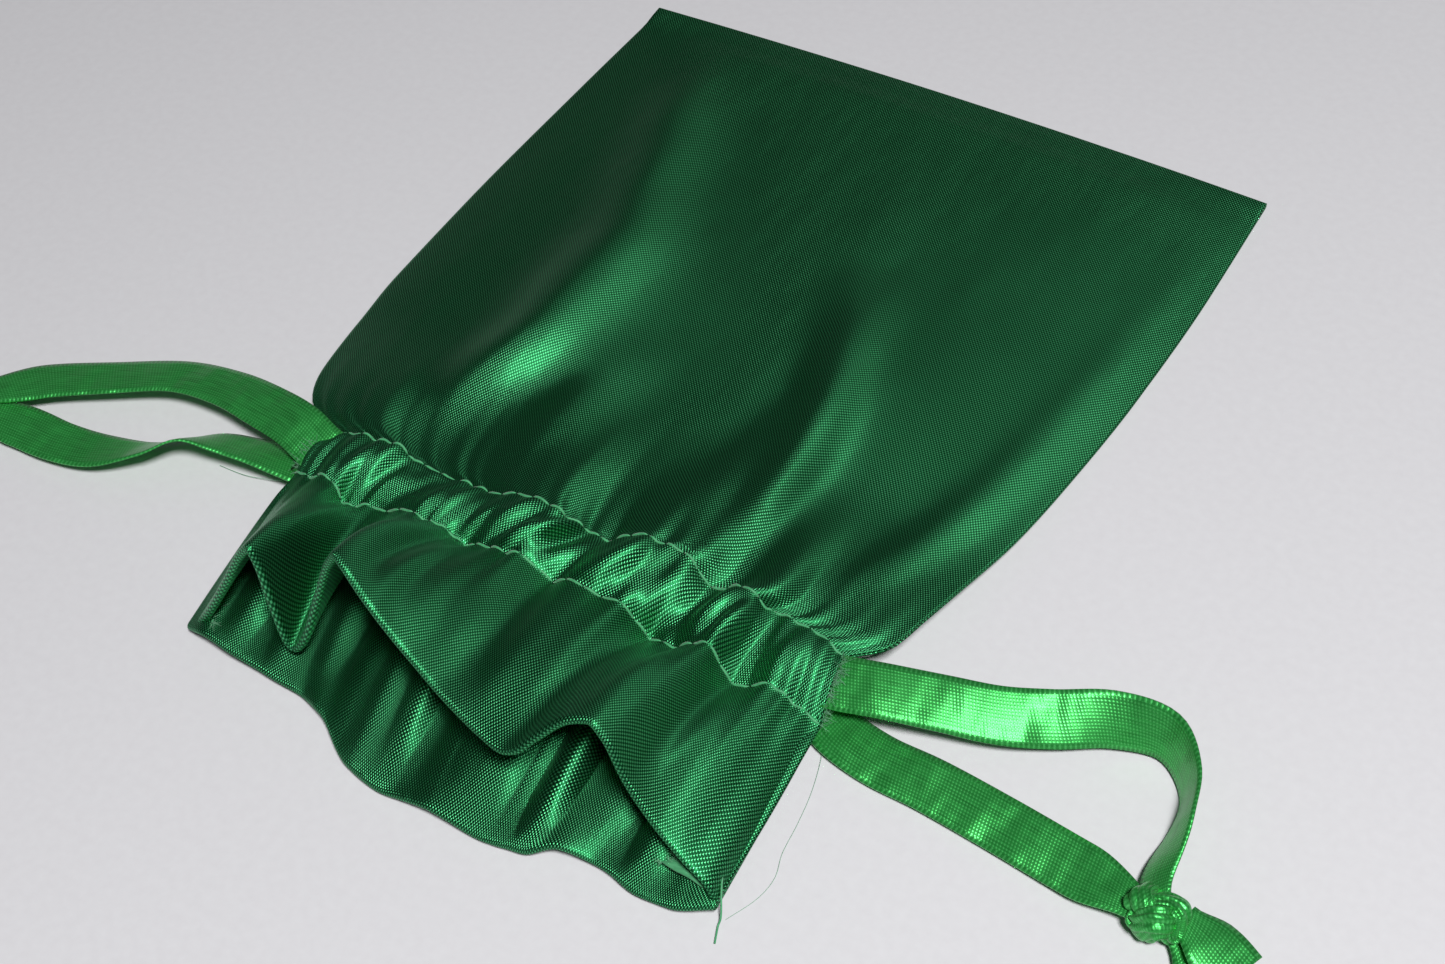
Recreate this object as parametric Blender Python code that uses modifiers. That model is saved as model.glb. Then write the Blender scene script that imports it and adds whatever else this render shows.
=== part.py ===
"""A small satin drawstring gift sack, lying on its back panel.

The closed bottom points to +Y, the open mouth to -Y, and the two pull ribbons leave the
neck at -X and +X. The origin is under the middle of the cloth, on the surface it lies on.
Lengths below are millimetres; metres() turns them into Blender's units.
"""

import math

import bmesh
import bpy
from mathutils import Vector

MM = 0.001

# The cloth, and the gap that neighbouring pieces keep.
CLOTH = 0.5
CASING_WALL = 0.35
GAP = 0.3

# The pouch: from the far stitch row to the bottom fold.
POUCH_NECK_Y = -24.15
BOTTOM_Y = 61.45
BOTTOM_BOW = 1.2
FOLD_DEPTH = 1.6
SEAM_Z = 2.2
CROWN_Z = 8.8
LEFT_SIDE = [(59, -44.2), (40, -44.9), (15, -45.5), (-5, -44.9), (-16, -42.8), (-24.15, -38.4)]
RIGHT_SIDE = [(59, 45.4), (42, 45.5), (22, 44.4), (4, 42.4), (-12, 39.3), (-24.15, 35.2)]
ALLOWANCE = 3.6
ALLOWANCE_Z = 1.15

# The neck: two flat casings, one over the other, with the way into the sack between them.
NECK_LEFT = -35.8
NECK_RIGHT = 32.4
CASING_FAR_Y = -25.05
CASING_NEAR_Y = -33.0
CASING_HEIGHT = 2.2
FRONT_CASING_Z = 6.6
NECK_MIDDLE_Z = FRONT_CASING_Z + CASING_HEIGHT / 2
CASING_Y = (CASING_FAR_Y + CASING_NEAR_Y) / 2

# The stitch rows that close the casings, each one thread that runs through both layers.
THREAD = 0.3
STITCH_PITCH = 4.25
STITCH_LEAN = 0.2
NEAR_ROW_Y = CASING_NEAR_Y - GAP - THREAD / 2
FAR_ROW_Y = CASING_FAR_Y + GAP + THREAD / 2

# The header: the free ruffle of cloth between the near stitch row and the mouth.
HEADER_Y = NEAR_ROW_Y - GAP - THREAD / 2
FRONT_LIP = [
    (-31.9, -55.0, 2.0),
    (-26.8, -52.8, 9.0),
    (-22.2, -51.5, 17.4),
    (-18.2, -53.4, 4.6),
    (-11.4, -50.0, 20.8),
    (-7.0, -51.4, 18.4),
    (-2.6, -52.6, 13.7),
    (4.5, -54.6, 11.4),
    (11.6, -56.0, 11.0),
    (19.2, -51.5, 15.8),
    (25.2, -53.4, 8.6),
    (30.4, -55.0, 5.6),
    (35.2, -56.0, 3.0),
]
BACK_LIP = [
    (-31.9, -55.6),
    (-24.0, -56.0),
    (-14.5, -56.6),
    (-6.3, -60.6),
    (-1.7, -61.5),
    (10.4, -61.1),
    (16.8, -59.6),
    (22.4, -58.0),
    (31.0, -58.4),
    (35.2, -56.6),
]

# The ribbons. Each enters one side of the neck, turns round at the other side and comes back.
RIBBON = 6.0
RIBBON_THICK = 0.3
RIBBON_MEET_X = -1.7
OUTER_LEVEL = CASING_WALL + GAP + RIBBON_THICK / 2
INNER_LEVEL = OUTER_LEVEL + GAP + RIBBON_THICK
FRONT_OUTER_Z = FRONT_CASING_Z + CASING_HEIGHT - OUTER_LEVEL
FRONT_INNER_Z = FRONT_CASING_Z + CASING_HEIGHT - INNER_LEVEL
RETURN_REACH = 1.5

# Free strands: places along the ribbon's middle line, and its roll about that line in degrees.
RIGHT_UPPER = [
    (33.0, -29.0, 7.85, 0),
    (37.0, -29.0, 7.3, 5),
    (41.5, -28.5, 5.4, 15),
    (47.0, -26.9, 3.7, 25),
    (53.5, -24.0, 3.0, 35),
    (60.0, -20.4, 3.2, 50),
    (65.5, -19.8, 3.3, 68),
    (69.3, -23.6, 3.3, 78),
    (70.3, -28.6, 3.1, 70),
    (70.4, -33.8, 2.6, 40),
]
RIGHT_LOWER = [
    (33.0, -29.0, 0.8, 0),
    (35.2, -29.0, 0.8, 0),
    (38.4, -31.2, 0.8, 0),
    (42.0, -33.6, 0.9, 3),
    (48.0, -35.2, 1.1, 6),
    (55.5, -35.4, 1.2, 8),
    (62.0, -36.3, 1.4, 8),
    (67.0, -37.2, 1.8, 5),
]
LEFT_UPPER = [
    (-36.4, -29.0, 7.85, 0),
    (-40.5, -29.0, 7.2, 0),
    (-45.5, -28.4, 5.2, -5),
    (-51.0, -27.6, 3.4, -8),
    (-57.5, -28.6, 2.6, -8),
    (-64.5, -32.4, 2.3, -5),
    (-70.5, -36.0, 2.2, 0),
    (-75.4, -40.0, 2.2, 0),
]
LEFT_LOWER = [
    (-36.4, -29.0, 0.8, 0),
    (-38.6, -29.0, 0.8, 0),
    (-41.8, -30.0, 0.9, -3),
    (-45.5, -31.8, 1.1, -12),
    (-50.4, -34.8, 3.2, -75),
    (-54.6, -38.6, 2.1, -30),
    (-60.5, -41.6, 1.2, -8),
    (-67.0, -42.6, 1.2, 0),
    (-74.2, -43.2, 1.8, 0),
]
RIGHT_KNOT = (71.9, -38.0, 2.5)
LEFT_KNOT = (-78.8, -43.4, 2.5)
KNOT_SIZE = (8.0, 6.4, 4.4)
KNOT_TURN = 12
RIGHT_TAILS = {
    "right_tail_upper": [(76.5, -38.0, 2.3, 0), (78.6, -38.8, 1.9, -3), (81.4, -39.9, 1.5, -4)],
    "right_tail_lower": [(76.5, -38.8, 0.8, 0), (78.4, -40.3, 0.6, 0), (80.4, -42.0, 0.5, 0)],
}
LEFT_TAILS = {
    "left_tail_upper": [(-83.4, -42.4, 2.0, 0), (-87.0, -42.9, 1.6, 4), (-91.2, -44.8, 1.2, 4)],
    "left_tail_lower": [(-81.2, -47.4, 0.9, 0), (-83.6, -50.2, 0.7, 0), (-87.4, -52.6, 0.6, 0)],
}

SATIN_GREEN = (0.006, 0.125, 0.034)
RIBBON_GREEN = (0.03, 0.31, 0.06)
THREAD_GREEN = (0.06, 0.32, 0.13)


def metres(x, y, z):
    return Vector((x, y, z)) * MM


def smooth_line(points, count):
    """Count places, evenly spaced by parameter, on the Catmull-Rom curve through the points."""
    points = [Vector(p) for p in points]
    ends = [2 * points[0] - points[1], 2 * points[-1] - points[-2]]
    padded = [ends[0], *points, ends[1]]
    line = []
    for i in range(count):
        place = i / (count - 1) * (len(points) - 1)
        span = min(int(place), len(points) - 2)
        t = place - span
        a, b, c, d = padded[span : span + 4]
        line.append(
            0.5 * (2 * b + (c - a) * t + (2 * a - 5 * b + 4 * c - d) * t**2 + (3 * b - 3 * c + d - a) * t**3)
        )
    return line


def read_line(line, share):
    """The place at a share from 0 to 1 along evenly numbered points."""
    place = min(max(share, 0), 1) * (len(line) - 1)
    step = min(int(place), len(line) - 2)
    return line[step].lerp(line[step + 1], place - step)


def clear_scene():
    for thing in list(bpy.data.objects):
        bpy.data.objects.remove(thing)


def make_collection(name):
    collection = bpy.data.collections.new(name)
    bpy.context.scene.collection.children.link(collection)
    return collection


def make_material(name, colour, roughness, sheen):
    material = bpy.data.materials.new(name)
    material.use_nodes = True
    shader = material.node_tree.nodes["Principled BSDF"]
    shader.inputs["Base Color"].default_value = (*colour, 1)
    shader.inputs["Roughness"].default_value = roughness
    shader.inputs["Metallic"].default_value = 0
    shader.inputs["Sheen Weight"].default_value = sheen
    return material


def add_object(name, shape, material, collection):
    mesh = bpy.data.meshes.new(name)
    shape.to_mesh(mesh)
    shape.free()
    mesh.shade_smooth()
    mesh.set_sharp_from_angle(angle=math.radians(40))
    mesh.materials.append(material)
    thing = bpy.data.objects.new(name, mesh)
    collection.objects.link(thing)
    return thing


def thicken(thing, thickness, offset=0):
    solidify = thing.modifiers.new("Cloth thickness", "SOLIDIFY")
    solidify.thickness = thickness * MM
    solidify.offset = offset


def add_sheet(name, surface, columns, rows, thickness, material, collection):
    """A cloth sheet: surface(across, along) gives the place of each share from 0 to 1."""
    shape = bmesh.new()
    bmesh.ops.create_grid(shape, x_segments=columns, y_segments=rows, size=0.5)
    for vertex in shape.verts:
        vertex.co = metres(*surface(vertex.co.x + 0.5, vertex.co.y + 0.5))
    sheet = add_object(name, shape, material, collection)
    thicken(sheet, thickness)
    return sheet


def side_x(side, y):
    """Where a side of the pouch is at a given y."""
    line = smooth_line([(y_at, x_at, 0) for y_at, x_at in side], 40)
    for a, b in zip(line, line[1:]):
        if b.x <= y <= a.x:
            return a.y + (b.y - a.y) * (a.x - y) / (a.x - b.x)
    return line[0].y if y > line[0].x else line[-1].y


def pouch_y(across, along):
    """Along 0 is the neck and 1 the bottom fold, which bows out in its middle."""
    end = BOTTOM_Y - FOLD_DEPTH - BOTTOM_BOW * (2 * across - 1) ** 2
    return POUCH_NECK_Y + (end - POUCH_NECK_Y) * along


def pouch_x(across, y):
    left, right = side_x(LEFT_SIDE, y), side_x(RIGHT_SIDE, y)
    return left + (right - left) * across


def front_panel_place(across, along):
    y = pouch_y(across, along)
    side_drop = 1 - abs(2 * across - 1) ** 6
    bottom_drop = 1 - max(2 * along - 1, 0) ** 7
    height = CROWN_Z + (NECK_MIDDLE_Z - CROWN_Z) * (1 - along) ** 6
    return pouch_x(across, y), y, SEAM_Z + (height - SEAM_Z) * side_drop * bottom_drop


def back_panel_place(across, along):
    y = pouch_y(across, along)
    return pouch_x(across, y), y, CLOTH / 2


def bottom_fold_place(across, along):
    """A half turn of cloth that carries the back panel's end up to the front panel's."""
    radius = (SEAM_Z - CLOTH / 2) / 2
    turn = math.pi * along
    y = pouch_y(across, 1) + GAP + (FOLD_DEPTH - GAP - CLOTH / 2) * math.sin(turn)
    return pouch_x(across, y), y, CLOTH / 2 + radius * (1 - math.cos(turn))


def make_pouch(satin, collection):
    add_sheet("front_panel", front_panel_place, 22, 14, CLOTH, satin, collection)
    add_sheet("back_panel", back_panel_place, 10, 14, CLOTH, satin, collection)
    add_sheet("bottom_fold", bottom_fold_place, 16, 6, CLOTH, satin, collection)


def make_side_seams(satin, collection):
    """The raw edges that each side seam turns to the inside, lying between the panels."""
    for name, side, inward in (("left_side_seam", LEFT_SIDE, 1), ("right_side_seam", RIGHT_SIDE, -1)):

        def place(across, along, side=side, inward=inward):
            y = POUCH_NECK_Y + 1 + (BOTTOM_Y - 6 - POUCH_NECK_Y) * along
            return side_x(side, y) + inward * (GAP + ALLOWANCE * across), y, ALLOWANCE_Z

        add_sheet(name, place, 1, 16, CASING_WALL, satin, collection)


def make_casing(name, base_z, satin, collection):
    """A flat sleeve round two ribbons, open at both ends of the neck."""
    length = NECK_RIGHT - NECK_LEFT
    width = CASING_FAR_Y - CASING_NEAR_Y
    shape = bmesh.new()
    bmesh.ops.create_cube(shape, size=1)
    ends = [face for face in shape.faces if abs(face.normal.x) > 0.5]
    bmesh.ops.delete(shape, geom=ends, context="FACES_ONLY")
    bmesh.ops.scale(shape, vec=metres(length, width, CASING_HEIGHT), verts=shape.verts)
    casing = add_object(name, shape, satin, collection)
    casing.location = metres((NECK_LEFT + NECK_RIGHT) / 2, CASING_Y, base_z + CASING_HEIGHT / 2)
    thicken(casing, CASING_WALL, offset=-1)


def add_thread(name, route, thread, collection):
    curve = bpy.data.curves.new(name, "CURVE")
    curve.dimensions = "3D"
    curve.bevel_depth = THREAD / 2 * MM
    curve.bevel_resolution = 0
    curve.use_fill_caps = True
    spline = curve.splines.new("POLY")
    spline.points.add(len(route) - 1)
    for point, place in zip(spline.points, route):
        point.co = (*metres(*place), 1)
    curve.materials.append(thread)
    collection.objects.link(bpy.data.objects.new(name, curve))


def make_stitch_row(name, y, base_z, thread, collection):
    """A row of running stitches: along the top of the casing, through it, and along below."""
    count = int((NECK_RIGHT - NECK_LEFT) / STITCH_PITCH)
    first = (NECK_LEFT + NECK_RIGHT - count * STITCH_PITCH) / 2
    low, high = base_z + THREAD, base_z + CASING_HEIGHT - THREAD
    route = []
    for i in range(count):
        start = first + i * STITCH_PITCH
        route += [
            (start + STITCH_LEAN, y, high),
            (start + STITCH_PITCH / 2 - STITCH_LEAN, y, high),
            (start + STITCH_PITCH / 2 + STITCH_LEAN, y, low),
            (start + STITCH_PITCH - STITCH_LEAN, y, low),
        ]
    add_thread(name, route, thread, collection)


def header_edge(across):
    """The header's edge at the near stitch row."""
    x = NECK_LEFT + (NECK_RIGHT - NECK_LEFT) * across
    side_drop = 1 - abs(2 * across - 1) ** 6
    return Vector((x, HEADER_Y, SEAM_Z + (NECK_MIDDLE_Z - SEAM_Z) * side_drop))


def make_header(satin, thread, collection):
    front_lip = smooth_line(FRONT_LIP, 97)
    back_lip = smooth_line([(x, y, CLOTH / 2) for x, y in BACK_LIP], 61)

    def front_place(across, along):
        return header_edge(across).lerp(read_line(front_lip, across), along)

    def back_place(across, along):
        start = header_edge(across)
        start.z = CLOTH / 2
        return start.lerp(read_line(back_lip, across), along)

    add_sheet("front_header", front_place, 44, 5, CLOTH, satin, collection)
    add_sheet("back_header", back_place, 24, 3, CLOTH, satin, collection)

    for name, edge, inward in (("left_header_seam", 0, 1), ("right_header_seam", 1, -1)):

        def seam_place(across, along, edge=edge, inward=inward):
            place = back_place(edge, 0.04 + 0.9 * along)
            return place.x + inward * (GAP + ALLOWANCE * across), place.y, ALLOWANCE_Z

        add_sheet(name, seam_place, 1, 6, CASING_WALL, satin, collection)

    make_thread_tail(thread, collection)


def make_thread_tail(thread, collection):
    """The cut end of the right seam's sewing thread, hanging out of the mouth corner."""
    places = [(35.9, -54.9, 1.3), (37.6, -55.6, 0.9), (38.7, -57.6, 0.5), (38.5, -60.1, 0.4)]
    add_thread("seam_thread_tail", smooth_line(places, 12), thread, collection)


def add_ribbon(name, stations, ribbon, collection, taper=0):
    """A flat strip along x, y, z, roll stations. Taper is how much it narrows where it enters a knot."""
    count = 6 * len(stations)
    line = smooth_line([s[:3] for s in stations], count + 1)
    rolls = smooth_line([(s[3], 0, 0) for s in stations], count + 1)

    def place(along, across):
        step = min(round(along * count), count)
        before, after = line[max(step - 1, 0)], line[min(step + 1, count)]
        forward = (after - before).normalized()
        sideways = Vector((0, 0, 1)).cross(forward).normalized()
        roll = math.radians(rolls[step].x)
        lean = sideways * math.cos(roll) + forward.cross(sideways) * math.sin(roll)
        width = RIBBON * (1 - taper * max(along - 0.75, 0) / 0.25)
        return line[step] + lean * width * (across - 0.5)

    add_sheet(name, place, count, 1, RIBBON_THICK, ribbon, collection)


def make_leads(side, exit_x, ribbon, collection):
    """The two stretches of one ribbon that slide inside the casings, ahead of its loop."""
    inner_end = RIBBON_MEET_X + math.copysign(GAP / 2, exit_x)
    middle = (inner_end + exit_x) / 2
    for layer, z in (("front", FRONT_OUTER_Z), ("back", OUTER_LEVEL)):
        shape = bmesh.new()
        bmesh.ops.create_cube(shape, size=1)
        bmesh.ops.scale(shape, vec=metres(abs(exit_x - inner_end), RIBBON, RIBBON_THICK), verts=shape.verts)
        lead = add_object(f"{side}_ribbon_{layer}_lead", shape, ribbon, collection)
        lead.location = metres(middle, CASING_Y, z)


def make_return(name, turn_x, ribbon, collection):
    """The far part of a ribbon: through the front casing, round at the side, and back behind."""
    outward = math.copysign(1, turn_x)
    inner_end = RIBBON_MEET_X + outward * GAP / 2
    bend_x = turn_x + outward * 0.2
    middle_z = (FRONT_INNER_Z + INNER_LEVEL) / 2
    half = (FRONT_INNER_Z - INNER_LEVEL) / 2
    straight = 12
    bend = 10
    route = [Vector((inner_end + (bend_x - inner_end) * i / straight, 0, FRONT_INNER_Z)) for i in range(straight)]
    for i in range(bend + 1):
        turn = math.pi * i / bend
        reach = RETURN_REACH * outward * math.sin(turn)
        route.append(Vector((bend_x + reach, 0, middle_z + half * math.cos(turn))))
    for i in range(1, straight + 1):
        route.append(Vector((bend_x + (inner_end - bend_x) * i / straight, 0, INNER_LEVEL)))
    last = len(route) - 1

    def place(along, across):
        spot = route[min(round(along * last), last)]
        return spot.x, CASING_Y + RIBBON * (across - 0.5), spot.z

    add_sheet(name, place, last, 1, RIBBON_THICK, ribbon, collection)


def make_knot(name, middle, turn, ribbon, collection):
    """An overhand knot, as the outer shape of its wrapped turns."""
    shape = bmesh.new()
    bmesh.ops.create_uvsphere(shape, u_segments=14, v_segments=9, radius=0.5)
    for vertex in shape.verts:
        around = math.atan2(vertex.co.y, vertex.co.x)
        wrap = 1 + 0.07 * math.cos(2 * around + 9 * vertex.co.x)
        vertex.co = Vector([c * wrap * size * MM for c, size in zip(vertex.co, KNOT_SIZE)])
    knot = add_object(name, shape, ribbon, collection)
    knot.location = metres(*middle)
    knot.rotation_euler.z = math.radians(turn)


def make_loop(side, strands, tails, knot_middle, knot_turn, ribbon, collection):
    for name, stations in strands.items():
        add_ribbon(f"{side}_{name}", stations, ribbon, collection, taper=0.45)
    make_knot(f"{side}_knot", knot_middle, knot_turn, ribbon, collection)
    for name, stations in tails.items():
        add_ribbon(name, stations, ribbon, collection)


def main():
    clear_scene()
    sack = make_collection("gift_sack")
    satin = make_material("satin", SATIN_GREEN, 0.38, 0.3)
    ribbon = make_material("ribbon", RIBBON_GREEN, 0.32, 0.2)
    thread = make_material("thread", THREAD_GREEN, 0.6, 0.1)

    make_pouch(satin, sack)
    make_side_seams(satin, sack)
    for layer, base_z in (("front", FRONT_CASING_Z), ("back", 0)):
        make_casing(f"{layer}_casing", base_z, satin, sack)
        make_stitch_row(f"{layer}_near_stitches", NEAR_ROW_Y, base_z, thread, sack)
        make_stitch_row(f"{layer}_far_stitches", FAR_ROW_Y, base_z, thread, sack)
    make_header(satin, thread, sack)

    make_leads("right", NECK_RIGHT + GAP, ribbon, sack)
    make_leads("left", NECK_LEFT - GAP, ribbon, sack)
    make_return("right_ribbon_return", NECK_LEFT, ribbon, sack)
    make_return("left_ribbon_return", NECK_RIGHT, ribbon, sack)
    right = {"upper_strand": RIGHT_UPPER, "lower_strand": RIGHT_LOWER}
    left = {"upper_strand": LEFT_UPPER, "lower_strand": LEFT_LOWER}
    make_loop("right", right, RIGHT_TAILS, RIGHT_KNOT, -KNOT_TURN, ribbon, sack)
    make_loop("left", left, LEFT_TAILS, LEFT_KNOT, KNOT_TURN, ribbon, sack)


main()
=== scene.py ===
"""The looks of a satin drawstring gift sack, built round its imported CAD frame.

Shapes are worked out in millimetres, in the frame's own axes: +Y to the closed bottom, -Y to
the mouth, +Z up. metres() scales them once. The cloth is one strip, as on the real sack: from
the front layer's turned-in end, over the front lip, down the front, round the bottom fold,
along the back, over the back lip and in again.
"""

import math

import bpy
import numpy as np
from mathutils import Matrix, Vector


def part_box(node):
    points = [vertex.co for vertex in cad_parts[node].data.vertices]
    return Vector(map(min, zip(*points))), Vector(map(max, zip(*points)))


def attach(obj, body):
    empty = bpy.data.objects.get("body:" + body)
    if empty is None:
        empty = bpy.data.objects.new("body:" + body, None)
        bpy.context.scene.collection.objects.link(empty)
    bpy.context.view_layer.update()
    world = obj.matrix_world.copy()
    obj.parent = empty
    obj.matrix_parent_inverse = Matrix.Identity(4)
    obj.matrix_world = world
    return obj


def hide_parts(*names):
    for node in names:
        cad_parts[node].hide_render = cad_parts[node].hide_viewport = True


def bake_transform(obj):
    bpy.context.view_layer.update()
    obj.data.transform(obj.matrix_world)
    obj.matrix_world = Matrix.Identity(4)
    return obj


MM = 0.001

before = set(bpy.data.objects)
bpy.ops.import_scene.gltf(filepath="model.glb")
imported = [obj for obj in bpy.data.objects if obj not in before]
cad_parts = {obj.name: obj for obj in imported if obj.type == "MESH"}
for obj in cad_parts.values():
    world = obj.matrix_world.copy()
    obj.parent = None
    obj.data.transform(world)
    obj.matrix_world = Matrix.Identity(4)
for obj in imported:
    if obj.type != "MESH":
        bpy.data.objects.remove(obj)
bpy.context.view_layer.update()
_, FOLD_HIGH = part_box("bottom_fold")
CASING_LOW, CASING_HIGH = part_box("front_casing")

# ---------------------------------------------------------------- driving sizes
# Millimetres, unless a comment says otherwise.

# The cloth and its two layers.
CLOTH_THICK = 0.2
LAYER_GAP = 0.75
SEWN_GAP = 0.35
CASING_ROOM = 1.1
RIBBON_ROOM = 1.15
RIBBON_CLEAR = 0.45
FLAT_WIDTH = 90.0
PANEL_CLOTH = 86.0
FACING_END = 5.0
FLOOR_CLEAR = 0.02
STITCH_LENGTH = 2.3
# How far the lip reaches past its fold's middle, in radii of the fold.
LIP_OVERHANG = 1.2

# How far the gathers and the puckers reach from a stitch row.
GATHER_REACH = 22.0
PUCKER_REACH = 4.5
# How far a pucker shifts a stitch row along the sack, as a share of the pucker's height.
PUCKER_SHIFT = 0.35

# The bottom edge, which bows out in the middle.
BOTTOM_Y = FOLD_HIGH.y / MM - 0.3
BOTTOM_SETBACK = 1.5
BOTTOM_BOW = 1.1

# The front panel: its height by the bottom, and what it rises by towards the middle and the neck.
# Each rise starts at the y of its FROM and takes the length of its OVER.
BOTTOM_HEIGHT = 1.8
MIDDLE_RISE = 1.6
MIDDLE_FROM, MIDDLE_OVER = 62, 60
NECK_RISE = 0.6
NECK_FROM, NECK_OVER = -5, 20
BOTTOM_ROUNDING = 9
RIDGE_FADE = 22
EDGE_RISE = 0.6
EDGE_REACH = 4

# The back panel: its height in the middle, and what is taken off the seam's height at its sides.
BACK_HEIGHT = 0.13
SEAM_STEP = 0.2

# Swell of the front casing, the back casing, the front header and the back header.
CASING_PUFF = 1.2
BACK_CASING_PUFF = -0.42
HEADER_BULGE = 1.9
BACK_HEADER_BULGE = 1.0
# How far a casing's folds lean from one stitch row to the other, as a share of the width.
CASING_SLANT = 0.035

# The far stitch row, and the two ends of the casing.
FAR_Y = -26.6
EXIT_LEFT = CASING_LOW.x / MM
EXIT_RIGHT = CASING_HIGH.x / MM

# How finely the cloth is divided: counts of faces.
COLUMNS = 230
HEADER_ROWS = 34
CASING_ROWS = 14
PANEL_ROWS = 84
BACK_ROWS = 40
LIP_ROWS = 8
FOLD_ROWS = 8

# The near stitch row of the front layer: share across, x, y, z.
NEAR_ROW = [
    (0.00, -34.6, -33.4, 2.4),
    (0.05, -32.4, -33.6, 3.4),
    (0.10, -29.0, -33.7, 4.6),
    (0.15, -26.2, -34.7, 2.9),
    (0.21, -22.6, -33.7, 3.4),
    (0.31, -15.8, -33.7, 5.6),
    (0.38, -11.6, -33.7, 4.4),
    (0.44, -8.0, -33.7, 4.8),
    (0.50, -3.4, -33.7, 6.8),
    (0.55, 0.9, -33.7, 4.8),
    (0.60, 5.0, -33.7, 6.2),
    (0.65, 9.6, -33.7, 6.0),
    (0.70, 13.6, -34.0, 3.1),
    (0.735, 16.4, -34.2, 3.2),
    (0.79, 20.2, -33.7, 6.4),
    (0.855, 24.2, -34.9, 2.9),
    (0.92, 28.4, -34.0, 4.0),
    (1.00, 34.2, -34.4, 2.0),
]
# The far stitch row of the front layer: share across, x, y, z.
FAR_ROW = [
    (0.00, -33.8, -27.2, 3.4),
    (0.06, -31.0, -26.8, 4.2),
    (0.14, -25.4, -26.6, 5.4),
    (0.22, -19.8, -26.6, 3.6),
    (0.30, -14.4, -26.6, 3.8),
    (0.40, -7.8, -26.6, 6.2),
    (0.47, -2.4, -26.6, 7.2),
    (0.53, 1.6, -26.6, 4.8),
    (0.57, 4.4, -26.4, 5.6),
    (0.63, 8.8, -25.6, 7.8),
    (0.69, 13.2, -25.8, 7.6),
    (0.74, 17.4, -26.6, 5.2),
    (0.80, 21.4, -26.6, 7.4),
    (0.86, 24.8, -26.6, 5.4),
    (0.93, 29.0, -26.8, 5.6),
    (1.00, 33.2, -27.6, 5.0),
]
# The front lip: share across, x, y, z.
FRONT_LIP = [
    (0.000, -31.9, -55.0, 1.0),
    (0.030, -29.9, -54.2, 4.0),
    (0.070, -26.6, -53.0, 10.0),
    (0.112, -23.4, -51.8, 16.0),
    (0.132, -22.0, -51.5, 17.4),
    (0.150, -20.9, -51.8, 16.0),
    (0.178, -19.7, -52.7, 10.0),
    (0.200, -18.9, -53.3, 5.4),
    (0.212, -18.3, -53.5, 4.4),
    (0.224, -17.5, -53.2, 5.4),
    (0.262, -14.9, -51.6, 12.4),
    (0.312, -12.3, -50.2, 19.4),
    (0.334, -11.2, -49.9, 20.7),
    (0.360, -9.6, -50.4, 20.2),
    (0.415, -6.2, -51.6, 17.8),
    (0.480, -1.8, -52.8, 14.6),
    (0.550, 3.2, -54.2, 12.6),
    (0.620, 8.4, -55.6, 11.2),
    (0.655, 11.2, -56.1, 10.8),
    (0.672, 12.4, -55.8, 11.2),
    (0.700, 14.2, -54.3, 13.0),
    (0.740, 17.0, -52.3, 15.4),
    (0.772, 19.4, -51.6, 15.9),
    (0.800, 21.2, -52.0, 14.8),
    (0.850, 24.2, -53.2, 10.4),
    (0.900, 27.4, -54.2, 7.2),
    (0.950, 31.2, -55.2, 5.0),
    (0.980, 34.2, -55.8, 3.4),
    (1.000, 35.2, -56.2, 1.6),
]
# The back lip: share across, x, y, z.
BACK_LIP = [
    (0.00, -31.9, -55.2, 0.9),
    (0.05, -29.0, -55.6, 2.0),
    (0.12, -24.2, -55.9, 1.5),
    (0.22, -16.7, -56.0, 0.7),
    (0.29, -12.4, -57.2, 1.0),
    (0.38, -6.3, -60.6, 0.6),
    (0.45, -1.7, -61.4, 0.5),
    (0.53, 4.3, -61.1, 1.3),
    (0.61, 10.4, -61.0, 0.6),
    (0.69, 15.3, -60.2, 0.7),
    (0.74, 18.6, -58.6, 1.6),
    (0.80, 22.4, -57.9, 0.8),
    (0.88, 27.6, -58.6, 0.6),
    (0.94, 31.2, -58.4, 0.9),
    (1.00, 35.2, -56.6, 1.3),
]
# The sides of the pouch: y, x, height of the seam.
LEFT_SIDE = [
    (61, -43.8, 0.5), (40, -44.6, 0.5), (15, -45.2, 0.5), (-1, -45.0, 0.6), (-9.5, -44.0, 0.9),
    (-17.5, -42.2, 1.4), (-21.4, -40.9, 1.9), (-24.6, -38.8, 2.5), (-27.2, -33.8, 3.2),
]
RIGHT_SIDE = [
    (61, 45.4, 0.5), (42, 45.2, 0.5), (22, 44.2, 0.7), (6, 42.6, 1.2), (-3, 41.4, 1.8),
    (-11, 39.8, 2.6), (-19, 38.2, 3.4), (-24, 37.0, 4.0), (-27.6, 33.2, 4.8),
]

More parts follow.
